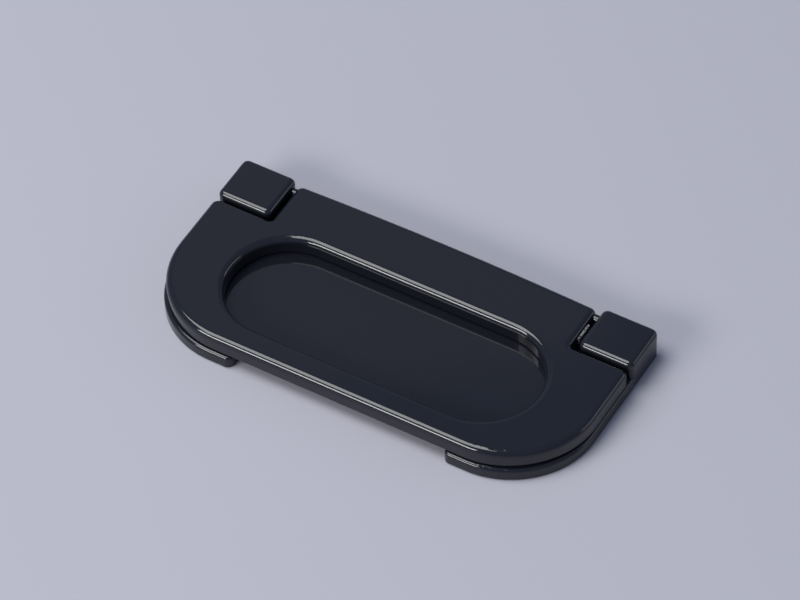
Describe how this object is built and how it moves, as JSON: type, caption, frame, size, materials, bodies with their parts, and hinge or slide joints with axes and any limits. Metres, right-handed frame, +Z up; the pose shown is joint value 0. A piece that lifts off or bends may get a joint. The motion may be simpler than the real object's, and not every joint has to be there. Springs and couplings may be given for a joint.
{
  "type": "flip-up pull handle",
  "caption": "Low pull handle: a hinged plate with a long rounded finger opening lies over a stick-on base plate and flips up on stub trunnions in two corner blocks.",
  "frame": {"origin": "middle of the footprint, on the surface that the adhesive pad is stuck to", "axes": "+X along the hinge line, -Y towards the free front edge that lifts, +Z up out of the mounting surface"},
  "size_m": [0.0682, 0.0322, 0.0052],
  "materials": {
    "moulding": "smooth glossy black moulding",
    "pad": "matte foam adhesive pad"
  },
  "bodies": {
    "base": {"base_plate": "moulding", "adhesive_pad": "pad"},
    "pull": {"pull_plate": "moulding"}
  },
  "joints": [
    {"name": "pull_hinge", "type": "hinge", "parent": "base", "child": "pull", "pos_m": [0, 0.01465, 0.0036], "axis": [-1, 0, 0], "range_deg": [0, 180]}
  ]
}
